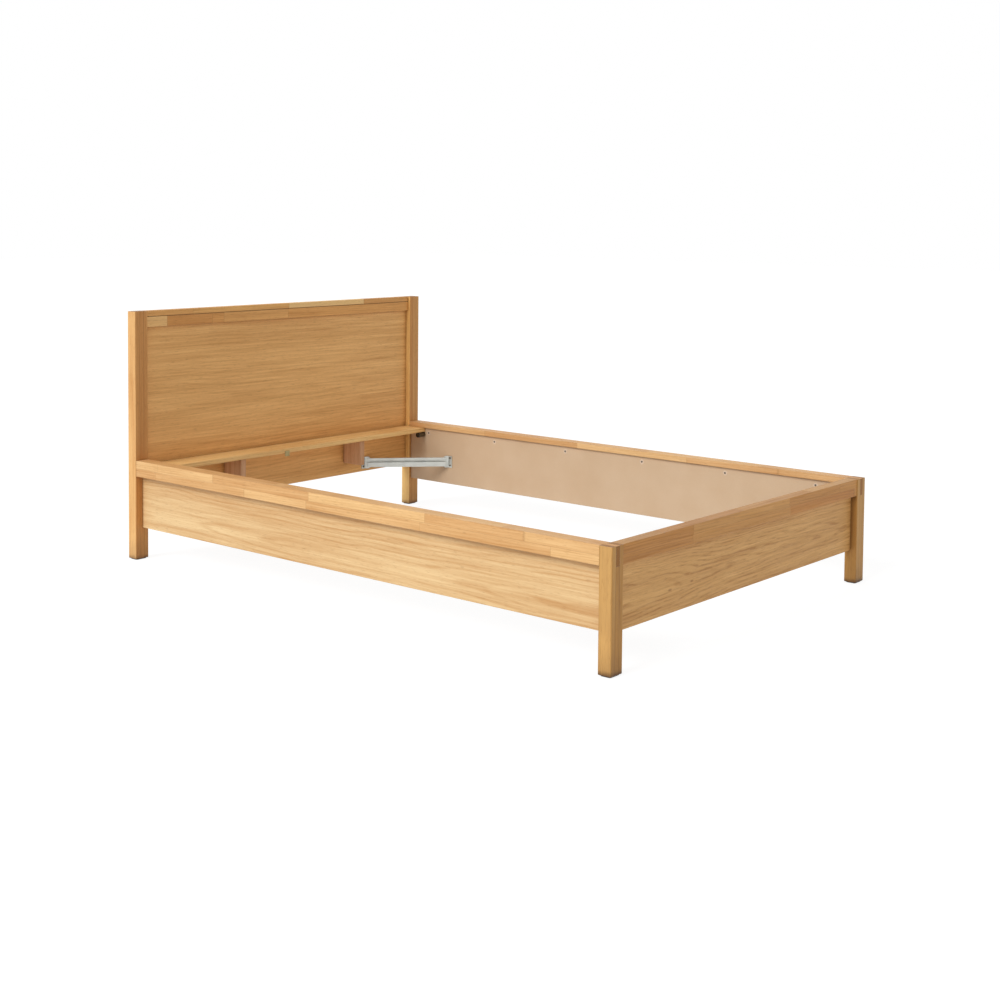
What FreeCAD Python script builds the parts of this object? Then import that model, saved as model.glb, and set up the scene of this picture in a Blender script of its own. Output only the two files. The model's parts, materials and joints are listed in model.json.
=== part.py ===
"""Panel bed with laminated posts, rabbeted edge rails and veneered panels.

X runs across the bed, Y from the foot to the head, Z up. The origin is on the floor under the middle of the
bed. Right is +X, as seen from the foot. All lengths are in millimetres.
"""
import FreeCAD, Part
import Sketcher
import math
import os

SIZES = {
    # overall
    "bed_length": 2175.0,
    "bed_width": 1525.0,
    "head_height": 915.0,
    "rail_height": 368.0,
    # posts: three plies side by side across the bed
    "post_width": 56.0,
    "post_depth": 45.0,
    "post_round": 3.0,
    "post_foot_chamfer": 1.5,
    "glide_thickness": 3.0,
    "glide_inset": 5.0,
    "glide_corner": 4.0,
    # side and foot rails
    "rail_depth": 58.0,
    "rail_strip": 20.5,
    "rail_round": 1.5,
    "side_rail_setback": 1.5,
    "foot_rail_setback": 3.0,
    # panels
    "panel_thickness": 16.0,
    "side_panel_setback": 30.0,
    "side_panel_bottom": 118.0,
    "foot_panel_setback": 24.0,
    "foot_panel_bottom": 116.0,
    "head_panel_setback": 6.0,
    "head_panel_bottom": 178.0,
    # headboard's edge
    "cap_setback": 2.0,
    "cap_height": 20.0,
    "cap_round": 1.5,
    "head_rail_height": 40.0,
    "head_rail_thickness": 11.0,
    "shadow_height": 2.5,
    "shadow_depth": 3.0,
    # shelf and what carries it
    "shelf_depth": 107.0,
    "shelf_thickness": 18.0,
    "shelf_round": 1.5,
    "bracket_thickness": 25.0,
    "bracket_height": 101.0,
    "bracket_depth": 98.0,
    "bracket_chamfer": 1.5,
    "bracket_left_place": 312.0,
    "bracket_right_place": 337.0,
    "support_diameter": 23.0,
    "support_length": 38.0,
    "support_behind": 9.5,
    "support_recess_diameter": 15.0,
    "support_recess_depth": 6.0,
    "support_chamfer": 1.5,
    "clip_width": 22.0,
    "clip_thickness": 2.0,
    "clip_rise": 9.0,
    "clip_drop": 12.5,
    "clip_leg": 18.0,
    "clip_place": 93.0,
    # corner braces
    "brace_across": 265.0,
    "brace_along": 245.0,
    "brace_rise": 96.0,
    "brace_sheet": 2.5,
    "brace_tab": 20.0,
    "brace_tab_height": 50.0,
    "brace_bar_height": 38.0,
    "brace_flange": 8.0,
    "brace_upper_lip": 9.0,
    "brace_lower_lip": 20.0,
    "brace_shoulder": 12.0,
    "brace_flare": 5.0,
    "brace_bend": 1.5,
    "brace_hole": 4.6,
    "brace_hole_pitch": 32.0,
    # screws
    "screw_diameter": 4.0,
    "screw_head_diameter": 8.0,
    "screw_head_height": 2.4,
    "panel_screw_length": 26.0,
    "panel_screw_drop": 42.0,
    "side_screw_head_margin": 105.0,
    "side_screw_foot_margin": 122.5,
    "end_screw_margin": 148.5,
    "head_screw_length": 24.0,
    "bracket_screw_length": 50.0,
    "bracket_screw_drop": 28.0,
    "bracket_screw_pitch": 45.0,
    "brace_screw_length": 14.0,
    "support_screw_bite": 12.0,
    "support_screw_head": 11.0,
    # dowels
    "dowel_diameter": 8.0,
    "dowel_length": 30.0,
    "side_dowel_rise": 32.0,
    "side_dowel_drop": 20.0,
    "foot_dowel_rise": 64.0,
    "foot_dowel_drop": 50.0,
    "head_dowel_rise": 82.0,
    "head_dowel_drop": 75.0,
    # bed bolts
    "bolt_diameter": 8.0,
    "bolt_length": 95.0,
    "bolt_head_diameter": 13.0,
    "bolt_head_height": 8.0,
    "bolt_socket": 6.0,
    "bolt_socket_depth": 4.0,
    "bolt_recess_diameter": 18.0,
    "bolt_recess_depth": 10.0,
    "bolt_spare": 1.0,
    "nut_diameter": 12.0,
    "nut_length": 18.0,
    "nut_place": 45.0,
    # clearances
    "joint_gap": 0.1,
    "hole_gap": 0.1,
}

SIDE_SCREWS = 6
END_SCREWS = 4
TAB_SCREWS = 2
HEAD_DOWELS = 3
PLIES = 3

# Sides of the small repeated round pieces and of their holes: a multiple of four, so that all line up.
SMALL_SIDES = 8
SOCKET_SIDES = 6

FULL_TURN = 360.0
QUARTER_TURN = 90.0

# How near counts as the same place, the same direction and the same volume.
SAME_PLACE = 0.01
SAME_WAY = 0.99
SAME_VOLUME = 0.001

# Normals of the mirror planes: left to right, and foot to head.
ACROSS = (1, 0, 0)
ALONG = (0, 1, 0)

DOC = FreeCAD.newDocument("PanelBed")
NODES = []


class Size:
    """A length, with the sheet formula that gives it."""

    def __init__(self, value, formula):
        self.value = value
        self.formula = formula

    def combine(self, other, sign, result):
        formula = other.formula if isinstance(other, Size) else repr(float(other))
        return Size(result, "(%s %s (%s))" % (self.formula, sign, formula))

    def __add__(self, other):
        return self.combine(other, "+", self.value + number(other))

    def __sub__(self, other):
        return self.combine(other, "-", self.value - number(other))

    def __mul__(self, other):
        return self.combine(other, "*", self.value * number(other))

    def __truediv__(self, other):
        return self.combine(other, "/", self.value / number(other))

    def __neg__(self):
        return Size(-self.value, "(0 - %s)" % self.formula)


def number(length):
    return length.value if isinstance(length, Size) else float(length)


def root(length):
    return Size(math.sqrt(length.value), "sqrt(%s)" % length.formula)


def fill_sheet():
    """Put each driving size in a cell of its own and hand back the sizes by name."""
    sheet = DOC.addObject("Spreadsheet::Sheet", "Sizes")
    sizes = {}
    for row, (name, value) in enumerate(SIZES.items(), start=1):
        sheet.set("A%d" % row, name)
        sheet.set("B%d" % row, str(value))
        sheet.setAlias("B%d" % row, name)
        sizes[name] = Size(value, "Sizes.%s" % name)
    DOC.recompute()
    return sizes


def bind(thing, field, length):
    """Drive a property of the model by a size."""
    if isinstance(length, Size):
        thing.setExpression(field, length.formula)
    else:
        thing.setExpression(field, repr(float(length)))


def place(thing, x, y, z, rotation=None):
    if rotation:
        thing.Placement = FreeCAD.Placement(FreeCAD.Vector(0, 0, 0), rotation)
    for axis, length in zip("xyz", (x, y, z)):
        bind(thing, "Placement.Base.%s" % axis, length)


def turned(axis, angle):
    return FreeCAD.Rotation(FreeCAD.Vector(*axis), angle)


# Turns that point a piece's own upward axis along the bed or across it.
TO_FOOT = turned((1, 0, 0), QUARTER_TURN)
TO_HEAD = turned((1, 0, 0), -QUARTER_TURN)
TO_RIGHT = turned((0, 1, 0), QUARTER_TURN)
TO_LEFT = turned((0, 1, 0), -QUARTER_TURN)


def node(thing, name):
    """Give a sub-part the name that it is kept under."""
    thing.Label = name
    NODES.append(thing)
    return thing


def new_body(name):
    return DOC.addObject("PartDesign::Body", name + "_body")


def origin_part(body, role):
    return next(part for part in body.Origin.OriginFeatures if part.Role == role)


def new_sketch(body, name, plane, offset=None):
    sketch = body.newObject("Sketcher::SketchObject", name)
    sketch.AttachmentSupport = [(origin_part(body, plane), "")]
    sketch.MapMode = "FlatFace"
    if offset is not None:
        bind(sketch, "AttachmentOffset.Base.z", offset)
    return sketch


def pin_point(sketch, curve, end, point):
    """Hold one point of a curve at its two distances from the sketch's origin."""
    for kind, length in zip(("DistanceX", "DistanceY"), point):
        held = Sketcher.Constraint(kind, -1, 1, curve, end, number(length))
        index = sketch.addConstraint(held)
        if isinstance(length, Size):
            sketch.setExpression("Constraints[%d]" % index, length.formula)


def draw_outline(sketch, points):
    """Draw a closed outline of straight lines through the points."""
    corners = [FreeCAD.Vector(number(x), number(y), 0) for x, y in points]
    first = sketch.GeometryCount
    for start, end in zip(corners, corners[1:] + corners[:1]):
        sketch.addGeometry(Part.LineSegment(start, end), False)
    for index, point in enumerate(points):
        following = (index + 1) % len(points)
        sketch.addConstraint(Sketcher.Constraint("Coincident", first + index, 2, first + following, 1))
        pin_point(sketch, first + index, 1, point)


def draw_rectangle(sketch, left, bottom, right, top):
    draw_outline(sketch, [(left, bottom), (right, bottom), (right, top), (left, top)])


def draw_circle(sketch, x, y, diameter):
    centre = FreeCAD.Vector(number(x), number(y), 0)
    circle = Part.Circle(centre, FreeCAD.Vector(0, 0, 1), number(diameter) / 2)
    curve = sketch.addGeometry(circle, False)
    index = sketch.addConstraint(Sketcher.Constraint("Diameter", curve, number(diameter)))
    bind(sketch, "Constraints[%d]" % index, diameter)
    pin_point(sketch, curve, 3, (x, y))


def ring(x, y, diameter, sides):
    """Corners of a regular outline round a point, the first of them on its +X side."""
    turns = [2 * math.pi * step / sides for step in range(sides)]
    radius = diameter / 2
    return [(radius * math.cos(turn) + x, radius * math.sin(turn) + y) for turn in turns]


def pad(body, sketch, length, middle=False):
    feature = body.newObject("PartDesign::Pad", sketch.Name + "_pad")
    feature.Profile = sketch
    feature.Midplane = middle
    bind(feature, "Length", length)
    sketch.Visibility = False
    return feature


def pocket(body, sketch, length=None, along_normal=False):
    """Cut a sketch into the body, to a depth or, with no length, right through."""
    feature = body.newObject("PartDesign::Pocket", sketch.Name + "_cut")
    feature.Profile = sketch
    feature.Reversed = along_normal
    if length is None:
        feature.Type = "ThroughAll"
    else:
        bind(feature, "Length", length)
    sketch.Visibility = False
    return feature


def drill(body, name, plane, spots, diameter, depth=None, offset=None, along_normal=False):
    """Cut small holes, many-sided like what goes into them, at the spots of one plane."""
    sketch = new_sketch(body, name, plane, offset)
    for x, y in spots:
        draw_outline(sketch, ring(x, y, diameter, SMALL_SIDES))
    return pocket(body, sketch, depth, along_normal)


def edges_where(shape, test):
    """Name the straight edges whose direction and middle pass the test."""
    names = []
    for index, edge in enumerate(shape.Edges, start=1):
        if edge.Curve.TypeId != "Part::GeomLine":
            continue
        direction = edge.Curve.Direction
        middle = edge.CenterOfMass
        if test(direction, middle):
            names.append("Edge%d" % index)
    return names


def soften(body, kind, field, amount, test):
    """Round or chamfer the chosen edges of what the body is so far."""
    DOC.recompute()
    base = body.Tip
    feature = body.newObject("PartDesign::" + kind, body.Name + "_" + kind)
    feature.Base = (base, edges_where(base.Shape, test))
    bind(feature, field, amount)
    return feature


def near(value, length):
    return abs(value - number(length)) < SAME_PLACE


def runs(part):
    """Whether one part of a direction is all of it."""
    return abs(part) > SAME_WAY


def mirror_image(source, name, normal, at=0.0):
    """Mirror a sub-part in a plane square to X or Y."""
    image = DOC.addObject("Part::Mirroring", name + "_mirror")
    image.Source = source
    image.Normal = FreeCAD.Vector(*normal)
    image.Base = FreeCAD.Vector(0, 0, 0)
    if isinstance(at, Size):
        bind(image, "Base.y", at)
    return image


def group(name, members):
    """Hold several separate solids as one sub-part."""
    gathered = DOC.addObject("Part::Compound", name + "_group")
    gathered.Links = members
    return gathered


def both_sides(thing, name):
    return group(name, [thing, mirror_image(thing, name, ACROSS)])


def both_ends(thing, name):
    return group(name, [thing, mirror_image(thing, name, ALONG)])


def left_and_right(body, name):
    """Keep a right-hand piece and its mirror image as two sub-parts."""
    node(body, name + "_right")
    node(mirror_image(body, name, ACROSS), name + "_left")


S = fill_sheet()

# Planes and gaps that several pieces share.
HALF_WIDTH = S["bed_width"] / 2
HALF_LENGTH = S["bed_length"] / 2
GAP = S["joint_gap"]
PLY = S["post_width"] / PLIES
POST_INNER_X = HALF_WIDTH - S["post_width"]
POST_INNER_Y = HALF_LENGTH - S["post_depth"]
ACROSS_SPAN = POST_INNER_X * 2
ALONG_SPAN = POST_INNER_Y * 2
STRIP_UNDER = S["rail_height"] - S["rail_strip"]
LIP_UNDER = S["rail_height"] - S["rail_depth"]
SIDE_PANEL_INNER = S["side_panel_setback"] + S["panel_thickness"]
FOOT_PANEL_INNER = S["foot_panel_setback"] + S["panel_thickness"]
HEAD_PANEL_FRONT = S["head_panel_setback"] + S["panel_thickness"]
WELL_SIDE = HALF_WIDTH - SIDE_PANEL_INNER
WELL_HEAD = HALF_LENGTH - HEAD_PANEL_FRONT
WELL_FOOT = HALF_LENGTH - FOOT_PANEL_INNER
CAP_UNDER = S["head_height"] - S["cap_height"]
HEAD_RAIL_UNDER = CAP_UNDER - S["head_rail_height"]
HEAD_RAIL_FRONT = HEAD_PANEL_FRONT + S["head_rail_thickness"]
SHELF_TOP = STRIP_UNDER - GAP
SHELF_UNDER = SHELF_TOP - S["shelf_thickness"]
SHELF_FRONT = WELL_HEAD - S["shelf_depth"]
SCREW_LEVEL = S["rail_height"] - S["panel_screw_drop"]
SCREW_HOLE = S["screw_diameter"] + S["hole_gap"] * 2
SINK_HOLE = S["screw_head_diameter"] + S["hole_gap"] * 2
DOWEL_HOLE = S["dowel_diameter"] + S["hole_gap"] * 2
DOWEL_DEPTH = S["dowel_length"] / 2 + S["hole_gap"]
SIDE_PANEL_MIDDLE = S["side_panel_setback"] + S["panel_thickness"] / 2
FOOT_PANEL_MIDDLE = S["foot_panel_setback"] + S["panel_thickness"] / 2
HEAD_PANEL_MIDDLE = S["head_panel_setback"] + S["panel_thickness"] / 2
FOOT_LIP_MIDDLE = (S["foot_rail_setback"] + S["foot_panel_setback"]) / 2
HEAD_RAIL_MIDDLE = (HEAD_PANEL_FRONT + HEAD_RAIL_FRONT) / 2
BOLT_INSET = (S["side_rail_setback"] + S["side_panel_setback"]) / 2
LIP_LEVEL = (S["rail_height"] + LIP_UNDER) / 2
BOLT_HOLE = S["bolt_diameter"] + S["hole_gap"] * 2

# Places of the fittings, from the pieces that carry them.
BRACKET_PLACES = [-S["bracket_left_place"], S["bracket_right_place"]]
BRACKET_BOTTOM = SHELF_UNDER - GAP - S["bracket_height"]
BRACKET_SCREW_TOP = SHELF_UNDER - GAP - S["bracket_screw_drop"]
BRACKET_LEVELS = [BRACKET_SCREW_TOP - S["bracket_screw_pitch"], BRACKET_SCREW_TOP]
BRACE_LEVEL = S["side_panel_bottom"] + S["brace_rise"]
SIDE_PITCH = (ALONG_SPAN - S["side_screw_head_margin"] - S["side_screw_foot_margin"]) / (SIDE_SCREWS - 1)
SIDE_SCREW_START = S["side_screw_foot_margin"] - POST_INNER_Y
SIDE_SCREW_PLACES = [SIDE_SCREW_START + SIDE_PITCH * step for step in range(SIDE_SCREWS)]
END_PITCH = (ACROSS_SPAN - S["end_screw_margin"] * 2) / (END_SCREWS - 1)
HEAD_SCREW_LEVEL = (CAP_UNDER + HEAD_RAIL_UNDER) / 2
SUPPORT_Y = SHELF_FRONT + S["support_behind"]
SUPPORT_LEVEL = SHELF_UNDER - GAP - S["support_diameter"] / 2
BOLT_REACH = S["bolt_length"] + S["bolt_recess_depth"] - S["post_depth"]
NUT_TOP = LIP_LEVEL + S["nut_length"] / 2
TAB_HOLE = S["brace_tab"] / 2
BRACE_BITE = S["brace_screw_length"] - S["brace_sheet"] - S["screw_head_height"] + S["hole_gap"]
WELL_MIDDLE = (WELL_HEAD - WELL_FOOT) / 2

SIDE_DOWEL_LEVELS = [S["side_panel_bottom"] + S["side_dowel_rise"], LIP_UNDER - S["side_dowel_drop"]]
FOOT_DOWEL_LEVELS = [S["foot_panel_bottom"] + S["foot_dowel_rise"], LIP_UNDER - S["foot_dowel_drop"]]
HEAD_DOWEL_LOW = S["head_panel_bottom"] + S["head_dowel_rise"]
HEAD_DOWEL_PITCH = (HEAD_RAIL_UNDER - S["head_dowel_drop"] - HEAD_DOWEL_LOW) / (HEAD_DOWELS - 1)
HEAD_DOWEL_LEVELS = [HEAD_DOWEL_LOW + HEAD_DOWEL_PITCH * step for step in range(HEAD_DOWELS)]


def evenly(pitch, count):
    """Places at one pitch, half of them on each side of the middle."""
    return [pitch * (index - (count - 1) / 2) for index in range(count)]


def upright(direction, middle):
    return runs(direction.z)


def plain_post(name, height):
    """A post from its glide to its top, drawn from its inner foot-side corner."""
    body = new_body(name)
    section = new_sketch(body, name + "_section", "XY_Plane")
    draw_rectangle(section, 0, 0, S["post_width"], S["post_depth"])
    pad(body, section, height - S["glide_thickness"])
    soften(body, "Fillet", "Radius", S["post_round"], upright)
    soften(body, "Chamfer", "Size", S["post_foot_chamfer"], lambda way, at: near(at.z, 0))
    return body


def above_glide(level):
    return level - S["glide_thickness"]


def make_foot_post():
    """The foot post, with an open slot in its middle ply for the side rail's tenon."""
    body = plain_post("foot_post", S["rail_height"])
    slot = new_sketch(body, "foot_post_slot", "XZ_Plane")
    draw_rectangle(slot, PLY, above_glide(LIP_UNDER), PLY * 2, above_glide(S["rail_height"]))
    pocket(body, slot)
    side = [(S["post_width"] - SIDE_PANEL_MIDDLE, above_glide(level)) for level in SIDE_DOWEL_LEVELS]
    drill(body, "foot_post_side_dowels", "XZ_Plane", side, DOWEL_HOLE, DOWEL_DEPTH,
          -S["post_depth"], along_normal=True)
    inner = [(FOOT_PANEL_MIDDLE, above_glide(level)) for level in FOOT_DOWEL_LEVELS]
    inner.append((FOOT_LIP_MIDDLE, above_glide(LIP_LEVEL)))
    drill(body, "foot_post_inner_dowels", "YZ_Plane", inner, DOWEL_HOLE, DOWEL_DEPTH, along_normal=True)
    place(body, POST_INNER_X, -HALF_LENGTH, S["glide_thickness"])
    left_and_right(body, "foot_post")


def make_head_post():
    """The head post, with the bed bolt's hole and its recess in the back."""
    body = plain_post("head_post", S["head_height"])
    bolt = [(S["post_width"] - BOLT_INSET, above_glide(LIP_LEVEL))]
    drill(body, "head_post_bolt", "XZ_Plane", bolt, BOLT_HOLE)
    recess = new_sketch(body, "head_post_recess", "XZ_Plane", -S["post_depth"])
    draw_circle(recess, *bolt[0], S["bolt_recess_diameter"])
    pocket(body, recess, S["bolt_recess_depth"], along_normal=True)
    side = [(S["post_width"] - SIDE_PANEL_MIDDLE, above_glide(level)) for level in SIDE_DOWEL_LEVELS]
    drill(body, "head_post_side_dowels", "XZ_Plane", side, DOWEL_HOLE, DOWEL_DEPTH)
    inner = [(S["post_depth"] - HEAD_PANEL_MIDDLE, above_glide(level)) for level in HEAD_DOWEL_LEVELS]
    inner.append((S["post_depth"] - HEAD_RAIL_MIDDLE, above_glide(HEAD_SCREW_LEVEL)))
    drill(body, "head_post_inner_dowels", "YZ_Plane", inner, DOWEL_HOLE, DOWEL_DEPTH, along_normal=True)
    place(body, POST_INNER_X, POST_INNER_Y, S["glide_thickness"])
    left_and_right(body, "head_post")


def make_glide(name, foot_edge):
    """A thin pad under a post, a little smaller than the post all round."""
    body = new_body(name)
    outline = new_sketch(body, name + "_outline", "XY_Plane")
    inset = S["glide_inset"]
    draw_rectangle(outline, inset, inset, S["post_width"] - inset, S["post_depth"] - inset)
    pad(body, outline, S["glide_thickness"])
    soften(body, "Chamfer", "Size", S["glide_corner"], upright)
    place(body, POST_INNER_X, foot_edge, 0)
    left_and_right(body, name)


def make_side_rail():
    """The side rail: an edge rail rabbeted for its panel, with a through tenon at the foot end."""
    body = new_body("side_rail")
    outer = -S["side_rail_setback"]
    inner = -S["post_width"]
    behind = -S["side_panel_setback"]
    section = new_sketch(body, "side_rail_section", "XZ_Plane", GAP)
    draw_outline(section, [(outer, LIP_UNDER), (outer, S["rail_height"]), (inner, S["rail_height"]),
                           (inner, STRIP_UNDER), (behind, STRIP_UNDER), (behind, LIP_UNDER)])
    pad(body, section, ALONG_SPAN - GAP * 2)
    soften(body, "Fillet", "Radius", S["rail_round"], lambda way, at: runs(way.y) and (
        near(at.z, S["rail_height"]) or (near(at.x, outer) and near(at.z, LIP_UNDER))))
    tenon = new_sketch(body, "side_rail_tenon", "XZ_Plane", ALONG_SPAN - GAP)
    draw_rectangle(tenon, PLY - S["post_width"] + GAP, LIP_UNDER + GAP,
                   PLY * 2 - S["post_width"] - GAP, S["rail_height"])
    pad(body, tenon, S["post_depth"] + GAP)
    bolt = [(-BOLT_INSET, LIP_LEVEL)]
    drill(body, "side_rail_bolt", "XZ_Plane", bolt, BOLT_HOLE, BOLT_REACH + S["bolt_spare"],
          along_normal=True)
    drill(body, "side_rail_nut", "XY_Plane", [(-BOLT_INSET, -S["nut_place"])],
          S["nut_diameter"] + S["hole_gap"] * 2, NUT_TOP - LIP_UNDER + S["hole_gap"], LIP_UNDER,
          along_normal=True)
    spots = [(along - POST_INNER_Y, SCREW_LEVEL) for along in SIDE_SCREW_PLACES]
    drill(body, "side_rail_screws", "YZ_Plane", spots, SCREW_HOLE,
          S["panel_screw_length"] - S["panel_thickness"] + S["hole_gap"], behind, along_normal=True)
    place(body, HALF_WIDTH, POST_INNER_Y, 0)
    left_and_right(body, "side_rail")


def make_side_panel():
    """The side panel, hung in the rail's rabbet between the posts."""
    body = new_body("side_panel")
    section = new_sketch(body, "side_panel_section", "XZ_Plane", GAP)
    draw_rectangle(section, -SIDE_PANEL_INNER, S["side_panel_bottom"],
                   -(S["side_panel_setback"] + GAP), STRIP_UNDER - GAP)
    pad(body, section, ALONG_SPAN - GAP * 2)
    ends = [(-SIDE_PANEL_MIDDLE, level) for level in SIDE_DOWEL_LEVELS]
    drill(body, "side_panel_head_dowels", "XZ_Plane", ends, DOWEL_HOLE, DOWEL_DEPTH, along_normal=True)
    drill(body, "side_panel_foot_dowels", "XZ_Plane", ends, DOWEL_HOLE, DOWEL_DEPTH, ALONG_SPAN)
    spots = [(along - POST_INNER_Y, SCREW_LEVEL) for along in SIDE_SCREW_PLACES]
    drill_sunk(body, "side_panel_screws", "YZ_Plane", spots, -SIDE_PANEL_INNER, True)
    rise = S["brace_hole_pitch"] / 2
    along = S["brace_along"] + TAB_HOLE
    head = S["post_depth"] - HEAD_PANEL_FRONT - along
    foot = FOOT_PANEL_INNER - S["post_depth"] + along - ALONG_SPAN
    holes = [(at, level) for at in (head, foot) for level in (BRACE_LEVEL - rise, BRACE_LEVEL + rise)]
    drill(body, "side_panel_brace_screws", "YZ_Plane", holes, SCREW_HOLE, BRACE_BITE, -SIDE_PANEL_INNER,
          along_normal=True)
    drill(body, "side_panel_support_screw", "YZ_Plane", [(SUPPORT_Y - POST_INNER_Y, SUPPORT_LEVEL)],
          SCREW_HOLE, S["support_screw_bite"] + S["hole_gap"], -SIDE_PANEL_INNER, along_normal=True)
    place(body, HALF_WIDTH, POST_INNER_Y, 0)
    left_and_right(body, "side_panel")


def drill_sunk(body, name, plane, spots, face, along_normal):
    """Drill through from a face, with a straight recess for each screw's head."""
    drill(body, name + "_holes", plane, spots, SCREW_HOLE, None, face, along_normal)
    drill(body, name + "_sinks", plane, spots, SINK_HOLE, S["screw_head_height"] + S["hole_gap"], face,
          along_normal)


def make_foot_rail():
    """The foot rail between the foot posts, rabbeted for the foot panel."""
    body = new_body("foot_rail")
    front = S["foot_rail_setback"]
    behind = S["foot_panel_setback"]
    section = new_sketch(body, "foot_rail_section", "YZ_Plane", GAP)
    draw_outline(section, [(front, LIP_UNDER), (behind, LIP_UNDER), (behind, STRIP_UNDER),
                           (S["post_depth"], STRIP_UNDER), (S["post_depth"], S["rail_height"]),
                           (front, S["rail_height"])])
    pad(body, section, ACROSS_SPAN - GAP * 2)
    soften(body, "Fillet", "Radius", S["rail_round"], lambda way, at: runs(way.x) and (
        near(at.z, S["rail_height"]) or (near(at.y, front) and near(at.z, LIP_UNDER))))
    end = [(FOOT_LIP_MIDDLE, LIP_LEVEL)]
    drill(body, "foot_rail_left_dowel", "YZ_Plane", end, DOWEL_HOLE, DOWEL_DEPTH, along_normal=True)
    drill(body, "foot_rail_right_dowel", "YZ_Plane", end, DOWEL_HOLE, DOWEL_DEPTH, ACROSS_SPAN)
    spots = [(offset + POST_INNER_X, SCREW_LEVEL) for offset in evenly(END_PITCH, END_SCREWS)]
    drill(body, "foot_rail_screws", "XZ_Plane", spots, SCREW_HOLE,
          S["panel_screw_length"] - S["panel_thickness"] + S["hole_gap"], -behind, along_normal=True)
    place(body, -POST_INNER_X, -HALF_LENGTH, 0)
    node(body, "foot_rail")


def make_foot_panel():
    """The foot panel, hung in the foot rail's rabbet."""
    body = new_body("foot_panel")
    section = new_sketch(body, "foot_panel_section", "YZ_Plane", GAP)
    draw_rectangle(section, S["foot_panel_setback"] + GAP, S["foot_panel_bottom"],
                   FOOT_PANEL_INNER, STRIP_UNDER - GAP)
    pad(body, section, ACROSS_SPAN - GAP * 2)
    ends = [(FOOT_PANEL_MIDDLE, level) for level in FOOT_DOWEL_LEVELS]
    drill(body, "foot_panel_left_dowels", "YZ_Plane", ends, DOWEL_HOLE, DOWEL_DEPTH, along_normal=True)
    drill(body, "foot_panel_right_dowels", "YZ_Plane", ends, DOWEL_HOLE, DOWEL_DEPTH, ACROSS_SPAN)
    spots = [(offset + POST_INNER_X, SCREW_LEVEL) for offset in evenly(END_PITCH, END_SCREWS)]
    drill_sunk(body, "foot_panel_screws", "XZ_Plane", spots, -FOOT_PANEL_INNER, True)
    drill(body, "foot_panel_brace_screws", "XZ_Plane", brace_holes_across(POST_INNER_X), SCREW_HOLE,
          BRACE_BITE, -FOOT_PANEL_INNER, along_normal=True)
    place(body, -POST_INNER_X, -HALF_LENGTH, 0)
    node(body, "foot_panel")


def brace_holes_across(middle):
    """Where the braces' screws meet an end panel, left and right of the bed's middle."""
    reach = WELL_SIDE - S["brace_across"] - TAB_HOLE
    rise = S["brace_hole_pitch"] / 2
    levels = (BRACE_LEVEL - rise, BRACE_LEVEL + rise)
    return [(at, level) for at in (middle - reach, middle + reach) for level in levels]


def make_headboard():
    """The headboard's panel, its lower band and its cap, between the head posts."""
    cap = new_body("headboard_cap")
    section = new_sketch(cap, "headboard_cap_section", "YZ_Plane", GAP)
    draw_rectangle(section, -HEAD_RAIL_FRONT, CAP_UNDER, -S["cap_setback"], S["head_height"])
    pad(cap, section, ACROSS_SPAN - GAP * 2)
    soften(cap, "Fillet", "Radius", S["cap_round"],
           lambda way, at: runs(way.x) and near(at.z, S["head_height"]))
    place(cap, -POST_INNER_X, HALF_LENGTH, 0)
    node(cap, "headboard_cap")

    rail = new_body("headboard_rail")
    section = new_sketch(rail, "headboard_rail_section", "YZ_Plane", GAP)
    top = CAP_UNDER - GAP
    shade = HEAD_RAIL_FRONT - S["shadow_depth"]
    draw_outline(section, [(-HEAD_RAIL_FRONT, HEAD_RAIL_UNDER), (-(HEAD_PANEL_FRONT + GAP), HEAD_RAIL_UNDER),
                           (-(HEAD_PANEL_FRONT + GAP), top), (-shade, top),
                           (-shade, CAP_UNDER - S["shadow_height"]),
                           (-HEAD_RAIL_FRONT, CAP_UNDER - S["shadow_height"])])
    pad(rail, section, ACROSS_SPAN - GAP * 2)
    end = [(-HEAD_RAIL_MIDDLE, HEAD_SCREW_LEVEL)]
    drill(rail, "headboard_rail_left_dowel", "YZ_Plane", end, DOWEL_HOLE, DOWEL_DEPTH, along_normal=True)
    drill(rail, "headboard_rail_right_dowel", "YZ_Plane", end, DOWEL_HOLE, DOWEL_DEPTH, ACROSS_SPAN)
    spots = [(offset + POST_INNER_X, HEAD_SCREW_LEVEL) for offset in evenly(END_PITCH, END_SCREWS)]
    drill(rail, "headboard_rail_screws", "XZ_Plane", spots, SCREW_HOLE,
          S["head_screw_length"] - S["panel_thickness"] + S["hole_gap"], HEAD_PANEL_FRONT, along_normal=True)
    place(rail, -POST_INNER_X, HALF_LENGTH, 0)
    node(rail, "headboard_rail")

    panel = new_body("headboard_panel")
    section = new_sketch(panel, "headboard_panel_section", "YZ_Plane", GAP)
    draw_rectangle(section, -HEAD_PANEL_FRONT, S["head_panel_bottom"], -S["head_panel_setback"], top)
    pad(panel, section, ACROSS_SPAN - GAP * 2)
    ends = [(-HEAD_PANEL_MIDDLE, level) for level in HEAD_DOWEL_LEVELS]
    drill(panel, "headboard_panel_left_dowels", "YZ_Plane", ends, DOWEL_HOLE, DOWEL_DEPTH, along_normal=True)
    drill(panel, "headboard_panel_right_dowels", "YZ_Plane", ends, DOWEL_HOLE, DOWEL_DEPTH, ACROSS_SPAN)
    spots += [(place_x + POST_INNER_X, level) for place_x in BRACKET_PLACES for level in BRACKET_LEVELS]
    drill_sunk(panel, "headboard_panel_screws", "XZ_Plane", spots, S["head_panel_setback"], True)
    drill(panel, "headboard_panel_brace_screws", "XZ_Plane", brace_holes_across(POST_INNER_X), SCREW_HOLE,
          BRACE_BITE, HEAD_PANEL_FRONT)
    place(panel, -POST_INNER_X, HALF_LENGTH, 0)
    node(panel, "headboard_panel")


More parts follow.
